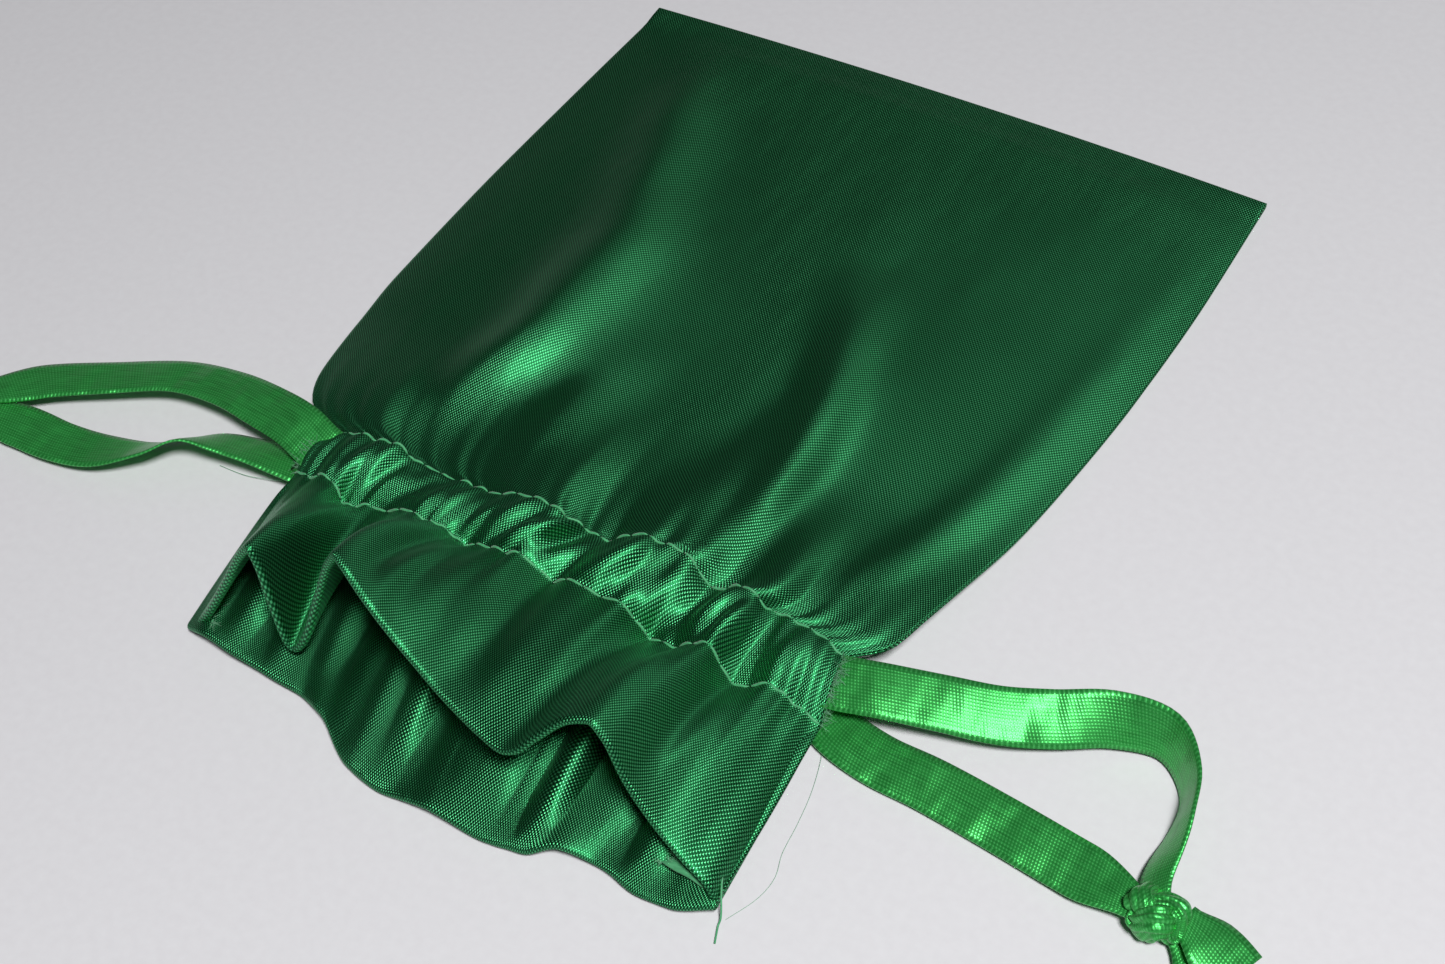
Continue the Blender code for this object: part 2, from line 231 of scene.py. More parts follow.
# The ribbons' routes, near those of the CAD: x, y, z and the roll about the ribbon's own line.
RIBBON = 6.0
RIBBON_THICK = 0.24
RIBBON_COLUMNS = 8
RIGHT_UPPER = [
    (29.0, -30.4, 3.4, 14), (33.6, -30.3, 4.2, 14), (38.5, -29.2, 4.6, 12), (44.3, -27.4, 4.1, 16),
    (49.8, -25.6, 3.5, 24), (54.6, -23.2, 3.1, 36), (60.0, -20.4, 3.2, 50), (65.5, -19.8, 3.3, 68),
    (69.3, -23.6, 3.3, 78), (70.3, -28.6, 3.1, 70), (70.5, -34.4, 2.7, 42), (71.6, -37.4, 2.6, 25),
]
RIGHT_LOWER = [
    (29.0, -30.9, 0.9, 0), (33.0, -32.2, 0.9, 0), (36.2, -33.7, 0.9, 0), (41.0, -34.6, 0.9, 3),
    (47.0, -34.8, 1.1, 6), (54.8, -35.5, 1.2, 8), (61.4, -36.3, 1.4, 8), (67.5, -37.2, 1.9, 5),
    (71.4, -38.2, 2.3, 0),
]
LEFT_UPPER = [
    (-29.0, -30.4, 3.4, -14), (-33.2, -30.0, 4.0, -14), (-37.2, -29.0, 4.8, -12), (-42.4, -28.2, 4.5, -6),
    (-49.0, -27.5, 3.7, 6), (-56.3, -28.4, 3.0, 12), (-64.0, -32.2, 2.5, 10), (-70.5, -36.0, 2.3, 6),
    (-75.4, -40.2, 2.3, 0), (-78.4, -42.8, 2.5, 0),
]
LEFT_LOWER = [
    (-29.0, -31.0, 0.9, 0), (-33.0, -31.4, 1.5, 5), (-37.0, -32.2, 2.0, 15), (-41.0, -33.0, 2.4, 25),
    (-45.6, -34.1, 2.7, 32), (-49.4, -36.0, 2.9, 48), (-53.0, -38.9, 2.2, 35), (-58.2, -41.2, 1.5, 12),
    (-63.5, -42.2, 1.3, 4), (-68.5, -42.4, 1.3, 0), (-74.4, -43.1, 1.8, 0), (-78.4, -43.6, 2.4, 0),
]
RIGHT_TAIL_UPPER = [
    (74.2, -37.1, 2.5, 0), (76.8, -37.9, 2.1, -6), (78.8, -38.7, 1.7, 4), (80.8, -39.5, 1.5, -3),
]
RIGHT_TAIL_LOWER = [
    (74.4, -37.9, 1.2, 0), (76.8, -39.2, 0.7, 0), (78.6, -40.6, 0.55, 0), (80.2, -42.0, 0.55, 0),
]
LEFT_TAIL_UPPER = [(-81.4, -42.6, 2.2, 0), (-87.0, -42.9, 1.6, 4), (-91.2, -44.8, 1.2, 4)]
LEFT_TAIL_LOWER = [(-80.2, -45.8, 1.2, 0), (-83.6, -50.2, 0.7, 0), (-87.4, -52.6, 0.6, 0)]

# The ribbons inside the casings, which are rolled by some degrees in the front one.
LEAD_Y = -30.4
FRONT_LEAD_Z = 3.3
FRONT_RETURN_Z = 2.75
BACK_LEAD_Z = 0.85
BACK_RETURN_Z = 1.35
MEET_X = -1.7
LEAD_ROLL = 14

# The knots: their middles, the reach of the tangle's line, the crumpled ribbon's half width and half
# height, the length of ribbon in a knot, and a knot's turn about Z in degrees.
RIGHT_KNOT = (71.9, -38.0, 2.5)
LEFT_KNOT = (-78.8, -43.4, 2.5)
KNOT_REACH = (2.4, 1.75, 1.05)
KNOT_CORD = (1.5, 0.95)
KNOT_CLOTH = 34
KNOT_TURN = 12

# The threads' routes: x, y, z.
THREAD_TAIL = [
    (34.4, -54.2, 3.0), (35.2, -55.8, 2.2), (35.9, -57.2, 0.9), (36.0, -58.0, 0.35), (36.6, -59.6, 0.25),
]
RIGHT_LOOSE_THREAD = [
    (34.4, -34.6, 1.2), (35.4, -36.4, 0.4), (36.5, -40.4, 0.12), (37.1, -44.4, 0.12),
    (37.4, -48.0, 0.12), (38.1, -50.8, 0.12), (37.7, -53.6, 0.12), (36.2, -56.9, 0.12),
]
LEFT_LOOSE_THREAD = [(-35.6, -34.2, 1.4), (-38.2, -34.6, 0.6), (-41.4, -35.2, 0.2), (-45.0, -35.4, 0.15)]

# The sewing thread's radius, the radii of the fibres at the casings and at the allowances, and the
# height that no fibre goes under.
THREAD_RADIUS = 0.1
FIBRE_RADIUS = 0.026
FRAY_RADIUS = 0.03
LOWEST_FIBRE = 0.15

# The raw seam allowances in the header: how far they reach inwards.
ALLOWANCE_REACH = {"right": 6.2, "left": 2.0}

# Soft ridges in the front panel: middle line as y, x; then its height and half width at those places.
RIDGES = [
    [(-26, -25.5, 1.2, 3.0), (-15, -24.0, 3.0, 4.2), (-2, -20.5, 4.0, 6.0), (12, -20.5, 3.4, 6.5),
     (27, -24.5, 2.6, 6.0), (43, -29.5, 1.9, 5.6), (58, -33.0, 0.6, 5.0)],
    [(-26, -7.0, 1.0, 2.6), (-18, -11.0, 1.8, 3.0), (-8, -11.0, 1.1, 3.6), (4, -9.0, 0.0, 5.0)],
    [(-26, 10.5, 1.6, 2.0), (-18, 10.6, 1.7, 2.4), (-8, 10.8, 1.0, 3.0), (2, 10.6, 0.0, 3.0)],
    [(-26, 17.5, 1.5, 2.2), (-13, 16.2, 2.9, 2.8), (0, 15.2, 2.8, 3.4), (12, 12.4, 1.8, 4.0),
     (26, 8.4, 0.0, 5.0)],
    [(-26, 26.5, 1.0, 2.5), (-16, 31.5, 2.0, 2.8), (0, 36.5, 1.8, 3.0), (24, 40.0, 1.1, 3.0),
     (48, 42.0, 0.4, 3.0)],
]

# ---------------------------------------------------------------- curves and surfaces


def metres(points):
    """Places in millimetres, in metres."""
    return np.asarray(points, float) * MM


def smooth_step(value):
    """0 below 0, 1 above 1, and a smooth rise between them."""
    value = np.clip(value, 0, 1)
    return value * value * (3 - 2 * value)


def through(knots, at):
    """Values at the given places, on the smooth monotone curve through knots of (place, value, ...)."""
    knots = np.asarray(knots, float)
    order = np.argsort(knots[:, 0])
    x, y = knots[order, 0], knots[order, 1:]
    step = np.diff(x)[:, None]
    rise = np.diff(y, axis=0) / step
    slope = np.zeros_like(y)
    same_way = rise[:-1] * rise[1:] > 0
    before, after = step[:-1], step[1:]
    weight_a, weight_b = 2 * after + before, after + 2 * before
    with np.errstate(divide="ignore", invalid="ignore"):
        harmonic = (weight_a + weight_b) / (weight_a / rise[:-1] + weight_b / rise[1:])
    slope[1:-1] = np.where(same_way, harmonic, 0)
    slope[0], slope[-1] = rise[0], rise[-1]
    at = np.asarray(at, float)
    span = np.clip(np.searchsorted(x, at) - 1, 0, len(x) - 2)
    width = (x[span + 1] - x[span])[..., None]
    t = ((at - x[span]) / (x[span + 1] - x[span]))[..., None]
    t = np.clip(t, 0, 1)
    return (
        (1 + 2 * t) * (1 - t) ** 2 * y[span]
        + t * (1 - t) ** 2 * width * slope[span]
        + t**2 * (3 - 2 * t) * y[span + 1]
        + t**2 * (t - 1) * width * slope[span + 1]
    )


def puckers(across, count, seed):
    """Small uneven waves from -1 to 1, as stitches pull into cloth."""
    random = np.random.default_rng(seed)
    bend = np.interp(across, np.linspace(0, 1, 12), random.uniform(-0.9, 0.9, 12))
    size = np.interp(across, np.linspace(0, 1, 17), random.uniform(0.35, 1.0, 17))
    return size * np.sin(2 * math.pi * count * across + 2.2 * bend)


def ridge_height(x, y):
    """The height that the soft ridges add over the front panel."""
    total = np.zeros_like(x)
    for ridge in RIDGES:
        line = through(ridge, y)
        middle, height, half_width = line[..., 0], line[..., 1], line[..., 2]
        total += height * np.exp(-(((x - middle) / half_width) ** 2))
    return total


across = np.linspace(0, 1, COLUMNS + 1)
side_share = np.abs(2 * across - 1)


def wander(u, v, size, seed):
    """Smooth random values from -1 to 1 over the flat cloth, which change over size millimetres."""
    random = np.random.default_rng(seed)
    lattice = random.uniform(-1, 1, (int(400 / size) + 3, int(200 / size) + 3))
    column, row = (u + 60) / size, (v + 20) / size
    i, j = np.floor(row).astype(int), np.floor(column).astype(int)
    a, b = smooth_step(row - i), smooth_step(column - j)
    near_side = lattice[i, j] * (1 - b) + lattice[i, j + 1] * b
    far_side = lattice[i + 1, j] * (1 - b) + lattice[i + 1, j + 1] * b
    return near_side * (1 - a) + far_side * a


def scallops(count, seed):
    """Arcs from -0.5 to 0.5 that meet in sharp notches, as a gathered thread leaves them."""
    random = np.random.default_rng(seed)
    bend = np.interp(across, np.linspace(0, 1, 9), random.uniform(-0.45, 0.45, 9))
    size = np.interp(across, np.linspace(0, 1, 13), random.uniform(0.3, 1.0, 13))
    arcs = np.abs(np.sin(math.pi * (count * across + bend))) ** 0.8
    return size * (arcs - 0.5) * (1 - side_share**12)


def row_curve(knots, detail):
    """A stitch row of the front layer: its even course, and the same with its scallops."""
    course = through(knots, across)
    row = course.copy()
    row[:, 2] += detail
    row[:, 1] += PUCKER_SHIFT * detail
    return course, row


def panel_rows(count, front, course, row):
    """The pouch from the bottom fold (first row) to the far stitch row."""
    rows = []
    for along in np.linspace(0, 1, count + 1) ** 0.9:
        bottom = BOTTOM_Y - BOTTOM_SETBACK + BOTTOM_BOW * (1 - (2 * across - 1) ** 2)
        y = bottom + (course[:, 1] - bottom) * along
        left, right = through(LEFT_SIDE, y), through(RIGHT_SIDE, y)
        seam = left[:, 1] + (right[:, 1] - left[:, 1]) * across
        from_row = y - course[:, 1]
        near = (1 - smooth_step(from_row / GATHER_REACH)) ** 1.3
        gathered = (course[:, 0] - course[0, 0]) / (course[-1, 0] - course[0, 0])
        x = left[:, 0] + (right[:, 0] - left[:, 0]) * (across + (gathered - across) * near)
        if front:
            flat = BOTTOM_HEIGHT + MIDDLE_RISE * smooth_step((MIDDLE_FROM - y) / MIDDLE_OVER)
            flat = flat + NECK_RISE * smooth_step((NECK_FROM - y) / NECK_OVER)
            fill = 1 - side_share**4.5
            rise = smooth_step((bottom - y) / BOTTOM_ROUNDING + 0.3)
            ridges = ridge_height(x, y) * smooth_step((bottom - y) / RIDGE_FADE)
            z = seam * (1 - fill) + (flat * rise + ridges) * fill
            z += EDGE_RISE * smooth_step((y - bottom + EDGE_REACH) / EDGE_REACH)
        else:
            z = BACK_HEIGHT + (seam - SEAM_STEP) * side_share**9
        z = z + (course[:, 2] - z) * near
        z = z + (row[:, 2] - course[:, 2]) * np.exp(-from_row / PUCKER_REACH)
        rows.append(np.stack([x, y, z], axis=1))
    rows[-1] = row
    return np.array(rows)


def lead_height(y):
    """The height of the sliding ribbons' middle plane in the front casing."""
    return FRONT_LEAD_Z + (y - LEAD_Y) * math.tan(math.radians(LEAD_ROLL))


def raised_over(z, floor_z, softness=0.25):
    """Heights lifted smoothly so that none is under floor_z."""
    return floor_z + softness * np.logaddexp(0, (z - floor_z) / softness)


def casing_rows(far, near, count, puff, folds):
    """The sleeve between two stitch rows, from the far row to the near one."""
    rows = []
    for along in np.linspace(0, 1, count + 1)[1:-1]:
        row = far + (near - far) * along
        swell = math.sin(math.pi * along)
        slanted = np.interp(across + CASING_SLANT * (along - 0.5), across, folds)
        row[:, 2] += swell**0.8 * (puff + slanted)
        if puff > 0:
            lifted = raised_over(row[:, 2], lead_height(row[:, 1]) + RIBBON_CLEAR)
            row[:, 2] += (lifted - row[:, 2]) * (1 - side_share**16) * min(1, 4 * swell)
        rows.append(row)
    return np.array(rows)


def header_rows(course, row, lip, count, bulge, folds):
    """The ruffle between the near stitch row and the lip."""
    rows = []
    reach = np.linalg.norm(lip - course, axis=1)
    for along in np.linspace(0, 1, count + 1):
        swell = math.sin(math.pi * along)
        place = course + (lip - course) * along
        place[:, 2] += (bulge + folds) * swell * (1 - side_share**6)
        place += (row - course) * np.exp(-along * reach / PUCKER_REACH)[:, None]
        rows.append(place)
    return np.array(rows)


def outward_normals(points, outer_sign):
    """Unit normals of a grid whose rows run from the bottom to the lip, pointing out of the sack."""
    along = np.gradient(points, axis=0)
    sideways = np.gradient(points, axis=1)
    normal = np.cross(along, sideways) * outer_sign
    return normal / np.maximum(np.linalg.norm(normal, axis=2, keepdims=True), 1e-9)


def turned_in(outer, outer_sign, gap, sleeve):
    """Continues a layer round its lip and back along its inside, gap away from it at each row."""
    normal = outward_normals(outer, outer_sign)
    lip, lip_normal = outer[-1], normal[-1]
    beyond = outer[-1] - outer[-3]
    beyond /= np.linalg.norm(beyond, axis=1, keepdims=True)
    radius = gap[-1] / 2
    fold = []
    for turn in np.linspace(0, math.pi, LIP_ROWS + 1)[1:-1]:
        inward = lip_normal * radius * (1 - math.cos(turn))
        fold.append(lip - inward + beyond * radius * LIP_OVERHANG * math.sin(turn))
    facing = outer - normal * gap[:, None, None]
    if outer_sign > 0:
        under = lead_height(facing[..., 1]) - RIBBON_ROOM
        lower = np.minimum(facing[..., 2], under)
        facing[..., 2] += (lower - facing[..., 2]) * sleeve[:, None]
    return np.concatenate([outer, np.array(fold), facing[::-1]])


def lined_layer(panel, casing, header, outer_sign):
    """One side of the sack, from the bottom fold to the lip and back to the facing's end."""
    rows_per_mm = (len(panel) - 1) / PANEL_CLOTH
    hidden = int(FACING_END * rows_per_mm)
    upper = np.concatenate([panel[-1 - hidden :], casing, header])
    gap = np.full(len(upper), LAYER_GAP)
    gap[: hidden + 1] = SEWN_GAP
    first = hidden + 1 + len(casing)
    sleeve = np.zeros(len(upper))
    sleeve[hidden + 1 : first] = np.sin(np.linspace(0, math.pi, len(casing) + 2))[1:-1] ** 0.5
    gap += CASING_ROOM * sleeve
    gap[hidden + 1 : first] -= LAYER_GAP - SEWN_GAP
    into_header = smooth_step(np.linspace(0, 1, 7))
    gap[first : first + 7] = SEWN_GAP + (LAYER_GAP - SEWN_GAP) * into_header
    return np.concatenate([panel[: -1 - hidden], turned_in(upper, outer_sign, gap, sleeve)])


# ---------------------------------------------------------------- the cloth strip

far_course, far_row = row_curve(FAR_ROW, 0.9 * scallops(11, 3) + 0.2 * puckers(across, 26, 4))
near_course, near_row = row_curve(NEAR_ROW, 0.9 * scallops(13, 5) + 0.2 * puckers(across, 28, 6))
front_lip = through(FRONT_LIP, across)
back_lip = through(BACK_LIP, across)


def back_row(front, seed):
    """A stitch row of the back layer, lying low but for its two ends."""
    low = 0.8 + 0.4 * puckers(across, 9, seed)
    z = low * (1 - side_share**12) + (front[:, 2] - 0.25) * side_share**12
    course = np.stack([front[:, 0], front[:, 1], z], axis=1)
    row = course.copy()
    row[:, 2] += 0.2 * puckers(across, 23, seed + 1) * (1 - side_share**10)
    return course, row


back_far_course, back_far_row = back_row(far_course, 11)
back_near_course, back_near_row = back_row(near_course, 13)


def make_layers():
    """The front and the back layer, each from the bottom fold to the end of its facing."""
    crowded = smooth_step((across - 0.4) / 0.12) * (1 - smooth_step((across - 0.8) / 0.1))
    folds = (1.2 * puckers(across, 15, 8) * crowded + 0.45 * puckers(across, 10, 9)) * (1 - side_share**8)
    ruffle = 0.7 * puckers(across, 7, 21) + 0.35 * puckers(across, 15, 22)
    floor_folds = 1.5 * np.maximum(puckers(across, 6, 31), -0.35) + 0.5 * puckers(across, 13, 32)
    front = lined_layer(
        panel_rows(PANEL_ROWS, True, far_course, far_row),
        casing_rows(far_row, near_row, CASING_ROWS, CASING_PUFF, folds),
        header_rows(near_course, near_row, front_lip, HEADER_ROWS, HEADER_BULGE, ruffle),
        1,
    )
    back = lined_layer(
        panel_rows(BACK_ROWS, False, back_far_course, back_far_row),
        casing_rows(back_far_row, back_near_row, CASING_ROWS, BACK_CASING_PUFF, 0 * across),
        header_rows(
            back_near_course, back_near_row, back_lip, HEADER_ROWS, BACK_HEADER_BULGE, floor_folds
        ),
        -1,
    )
    return front, back


def wrinkled(points, lengths):
    """The cloth with small uneven wrinkles where it is clear of the floor, weaker in the panel."""
    u = np.broadcast_to(FLAT_WIDTH * across[None, :], points.shape[:2])
    v = np.broadcast_to(lengths[:, None], points.shape[:2])
    in_panel = smooth_step((points[..., 1] - FAR_Y) / 12)
    waves = 0.14 * wander(u, 0.5 * v, 3.4, 41) + 0.24 * wander(u, 0.6 * v, 8.0, 42)
    waves *= 1 - 0.75 * in_panel
    waves += 0.12 * wander(u, v, 19.0, 43)
    result = points.copy()
    result[..., 2] += waves * (1 - side_share**8) * smooth_step((points[..., 2] - 0.6) / 1.2)
    return result


def bottom_fold(front_edge, back_edge):
    """Half a turn of cloth from the front panel's first row to the back panel's."""
    rows = []
    radius = (front_edge[:, 2] - back_edge[:, 2]) / 2
    for turn in np.linspace(0, math.pi, FOLD_ROWS + 1)[1:-1]:
        row = (front_edge + back_edge) / 2
        row[:, 1] += radius * math.sin(turn)
        row[:, 2] += radius * math.cos(turn)
        rows.append(row)
    return np.array(rows)


def flat_lengths(points):
    """How far each row is along the flat cloth, from the mean length of the strip's columns."""
    steps = np.linalg.norm(np.diff(points, axis=0), axis=2).mean(axis=1)
    return np.concatenate([[0], np.cumsum(steps)])


# ---------------------------------------------------------------- meshes


def grid_mesh(name, points, uv, material, thickness, closed_across=False):
    """A mesh of a grid of places in millimetres, with UVs in millimetres of flat cloth."""
    rows, columns = points.shape[:2]
    mesh = bpy.data.meshes.new(name)
    index = np.arange(rows * columns).reshape(rows, columns)
    right = np.roll(index, -1, axis=1) if closed_across else index[:, 1:]
    left = index if closed_across else index[:, :-1]
    faces = np.stack([left[:-1], right[:-1], right[1:], left[1:]], axis=-1).reshape(-1, 4)
    mesh.from_pydata(metres(points).reshape(-1, 3).tolist(), [], faces.tolist())
    layer = mesh.uv_layers.new(name="flat_cloth")
    corners = uv.reshape(-1, 2)[faces.reshape(-1)].astype(np.float32)
    layer.data.foreach_set("uv", corners.reshape(-1))
    mesh.shade_smooth()
    mesh.materials.append(material)
    piece = bpy.data.objects.new(name, mesh)
    bpy.context.scene.collection.objects.link(piece)
    if thickness:
        solidify = piece.modifiers.new("Cloth thickness", "SOLIDIFY")
        solidify.thickness = thickness * MM
        solidify.offset = 0
    return piece


def smooth_line(points, count):
    """Count places, evenly spaced along the Catmull-Rom curve through the points."""
    points = np.asarray(points, float)
    padded = np.concatenate([[2 * points[0] - points[1]], points, [2 * points[-1] - points[-2]]])
    fine = []
    for place in np.linspace(0, len(points) - 1, 24 * len(points)):
        span = min(int(place), len(points) - 2)
        t = place - span
        a, b, c, d = padded[span : span + 4]
        squared = (2 * a - 5 * b + 4 * c - d) * t**2
        cubed = (3 * b - 3 * c + d - a) * t**3
        fine.append(0.5 * (2 * b + (c - a) * t + squared + cubed))
    fine = np.array(fine)
    steps = np.linalg.norm(np.diff(fine[:, :3], axis=0), axis=1)
    length = np.concatenate([[0], np.cumsum(steps)])
    at = np.linspace(0, length[-1], count)
    return np.stack([np.interp(at, length, fine[:, k]) for k in range(fine.shape[1])], axis=1)


def line_length(line):
    """The length of a line of places, in millimetres."""
    return float(np.linalg.norm(np.diff(line[:, :3], axis=0), axis=1).sum())


def strip_frame(line):
    """The directions along and across a flat ribbon at each place of x, y, z, roll."""
    forward = np.gradient(line[:, :3], axis=0)
    forward /= np.linalg.norm(forward, axis=1, keepdims=True)
    sideways = np.cross([0, 0, 1], forward)
    sideways /= np.linalg.norm(sideways, axis=1, keepdims=True)
    roll = np.radians(line[:, 3])[:, None]
    return forward, sideways * np.cos(roll) + np.cross(forward, sideways) * np.sin(roll)


def ribbon_strip(name, stations, material, width_at, cup=0.0):
    """A woven ribbon laid along stations of x, y, z and roll, and its middle line."""
    count = max(int(line_length(np.asarray(stations, float)) / 0.8), 12)
    line = smooth_line(stations, count)
    forward, lean = strip_frame(line)
    face = np.cross(forward, lean)
    share = np.linspace(-0.5, 0.5, RIBBON_COLUMNS + 1)
    along = np.linspace(0, 1, count)
    width = width_at(along)
    rounded = cup * (1 - (2 * share) ** 2)
    points = (
        line[:, None, :3]
        + lean[:, None, :] * (width[:, None] * share[None, :])[..., None]
        + face[:, None, :] * rounded[None, :, None]
    )
    flat_across = RIBBON * (share[None, :] + 0.5)
    flat_along = (along * line_length(line))[:, None]
    uv = np.stack(np.broadcast_arrays(flat_across, flat_along), axis=-1)
    return grid_mesh(name, points, uv, material, RIBBON_THICK), line


def tube(line, radius, sides=8):
    """The rings of a round thread along places."""
    line = np.asarray(line, float)
    forward = np.gradient(line, axis=0)
    forward /= np.maximum(np.linalg.norm(forward, axis=1, keepdims=True), 1e-9)
    up = np.array([0.0, 0.0, 1.0]) + 0.01 * forward[:, [1, 2, 0]]
    side = np.cross(up, forward)
    side /= np.linalg.norm(side, axis=1, keepdims=True)
    top = np.cross(forward, side)
    size = np.full(len(line), radius) if np.isscalar(radius) else np.asarray(radius)
    turn = np.linspace(0, 2 * math.pi, sides, endpoint=False)
    ring = side[:, None] * np.cos(turn)[None, :, None] + top[:, None] * np.sin(turn)[None, :, None]
    return line[:, None] + ring * size[:, None, None]


def tubes_mesh(name, tubes, material):
    """One mesh of several closed tubes, each a grid of rings."""
    points, faces = [], []
    for rings in tubes:
        start = len(points)
        rows, sides = rings.shape[:2]
        points += metres(rings).reshape(-1, 3).tolist()
        for i in range(rows - 1):
            for j in range(sides):
                k = (j + 1) % sides
                a, b = start + i * sides, start + (i + 1) * sides
                faces.append((a + j, a + k, b + k, b + j))
        faces.append(tuple(start + j for j in reversed(range(sides))))
        faces.append(tuple(start + (rows - 1) * sides + j for j in range(sides)))
    mesh = bpy.data.meshes.new(name)
    mesh.from_pydata(points, [], faces)
    mesh.shade_smooth()
    mesh.materials.append(material)
    piece = bpy.data.objects.new(name, mesh)
    bpy.context.scene.collection.objects.link(piece)
    return piece


# ---------------------------------------------------------------- materials

# The steps of the weaves and of the selvedge's beads, in millimetres.
SATIN_PITCH = 0.38
RIBBON_PITCH = 0.44
BEAD_PITCH = 0.5


class Shading:
    """A material with a Principled shader and short ways to add nodes."""

    def __init__(self, name):
        self.material = bpy.data.materials.new(name)
        self.material.use_nodes = True
        self.tree = self.material.node_tree
        self.shader = self.tree.nodes["Principled BSDF"]

    def set(self, **values):
        for name, value in values.items():
            self.shader.inputs[name.replace("_", " ")].default_value = value

    def node(self, kind, links=(), **values):
        node = self.tree.nodes.new(kind)
        for name, value in values.items():
            setattr(node, name, value)
        for socket, source in dict(links).items():
            self.feed(node, socket, source)
        return node

    def feed(self, node, socket, source):
        if isinstance(source, bpy.types.NodeSocket):
            self.tree.links.new(source, node.inputs[socket])
        else:
            node.inputs[socket].default_value = source

    def math(self, operation, a, b=0.0):
        """The result of one arithmetic node."""
        return self.node("ShaderNodeMath", {0: a, 1: b}, operation=operation).outputs[0]

    def mix(self, share, a, b):
        node = self.node("ShaderNodeMix", data_type="RGBA")
        self.feed(node, "Factor", share)
        self.feed(node, "A", a)
        self.feed(node, "B", b)
        return node.outputs["Result"]

    def ramp(self, value, low, high):
        node = self.node("ShaderNodeMapRange", {"Value": value, "From Min": low, "From Max": high})
        return node.outputs["Result"]

    def flat_cloth(self):
        """U across and V along the flat cloth, in millimetres."""
        cloth = self.node("ShaderNodeUVMap", uv_map="flat_cloth")
        split = self.node("ShaderNodeSeparateXYZ", {0: cloth.outputs[0]})
        return split.outputs[0], split.outputs[1]

    def noise(self, scale, detail, vector):
        links = {"Scale": scale, "Detail": detail, "Vector": vector}
        return self.node("ShaderNodeTexNoise", links).outputs["Fac"]

    def combine(self, x, y):
        return self.node("ShaderNodeCombineXYZ", {0: x, 1: y}).outputs[0]

    def bump(self, height, strength, distance, below=None):
        links = {"Height": height, "Strength": strength, "Distance": distance}
        if below is not None:
            links["Normal"] = below
        return self.node("ShaderNodeBump", links).outputs[0]


def woven_dots(s, u, v, pitch):
    """The floats of a satin weave: rows of short dots, each half a step on from the last, 0 to 1."""
    turn = 2 * math.pi / pitch
    leaning_u = s.math("ADD", u, s.math("MULTIPLY", v, 0.06))
    leaning_v = s.math("SUBTRACT", v, s.math("MULTIPLY", u, 0.05))
    columns = s.math("SINE", s.math("MULTIPLY", leaning_u, turn))
    rows = s.math("SINE", s.math("MULTIPLY", leaning_v, 0.8 * turn))
    return s.ramp(s.math("MULTIPLY", columns, rows), -1.0, 1.0)


def satin_material():
    """Shining green satin, whose highlights run along the sack."""
    s = Shading("satin_green")
    u, v = s.flat_cloth()
    dots = s.ramp(woven_dots(s, u, v, SATIN_PITCH), 0.42, 0.9)
    streak = s.noise(1.0, 4.0, s.combine(s.math("MULTIPLY", u, 0.35), s.math("MULTIPLY", v, 3.0)))
    cloudy = s.noise(0.06, 3.0, s.combine(u, v))
    tone = s.mix(s.ramp(streak, 0.25, 0.75), (0.001, 0.05, 0.012, 1), (0.003, 0.09, 0.026, 1))
    tone = s.mix(s.math("MULTIPLY", dots, 0.8), tone, (0.12, 0.66, 0.28, 1))
    s.feed(s.shader, "Base Color", tone)
    rough = s.math("ADD", s.math("MULTIPLY", cloudy, 0.12), 0.34)
    s.feed(s.shader, "Roughness", rough)
    s.set(Metallic=0.92, Anisotropic=0.75, Anisotropic_Rotation=0.25)
    s.set(Sheen_Weight=0.03, Sheen_Roughness=0.4)
    s.shader.inputs["Sheen Tint"].default_value = (0.2, 0.8, 0.4, 1)
    tangent = s.node("ShaderNodeTangent", direction_type="UV_MAP", uv_map="flat_cloth")
    s.feed(s.shader, "Tangent", tangent.outputs[0])
    crease = s.bump(s.noise(0.35, 4.0, s.combine(u, s.math("MULTIPLY", v, 0.4))), 0.25, 0.0005)
    s.feed(s.shader, "Normal", s.bump(dots, 0.6, 0.00005, crease))
    return s.material


